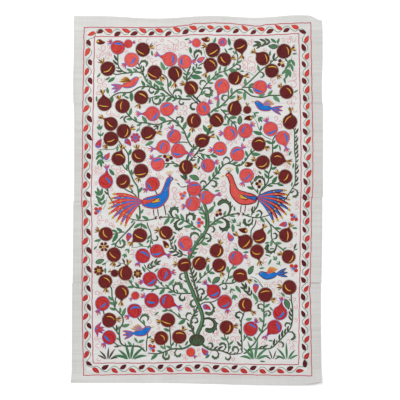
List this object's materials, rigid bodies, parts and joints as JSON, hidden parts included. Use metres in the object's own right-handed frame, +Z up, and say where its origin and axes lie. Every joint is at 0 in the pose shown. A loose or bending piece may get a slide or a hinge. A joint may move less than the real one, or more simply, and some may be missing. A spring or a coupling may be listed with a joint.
{
  "type": "suzani embroidered textile",
  "caption": "Large rectangular embroidered cloth lying flat, its pale ground sewn of cross widths and worked with a fruiting tree inside a leafy vine border.",
  "frame": {"origin": "centre of the cloth's bounding box, on the surface that it lies on", "axes": "+Z up out of the embroidered face, +Y along the length towards the upper end, +X to the right"},
  "size_m": [1.5114, 2.2209, 0.0154],
  "materials": {
    "ground_cloth": "matt handwoven silk and cotton, undyed",
    "thread_maroon": "satin silk thread",
    "thread_red": "satin silk thread",
    "thread_coral": "satin silk thread",
    "thread_pink": "satin silk thread",
    "thread_gold": "satin silk thread",
    "thread_blue": "satin silk thread",
    "thread_violet": "satin silk thread",
    "thread_green": "satin silk thread",
    "thread_olive": "satin silk thread"
  },
  "bodies": {
    "root": {"panel_top": "ground_cloth", "panel_upper": "ground_cloth", "panel_lower": "ground_cloth", "panel_bottom": "ground_cloth"}
  },
  "joints": []
}
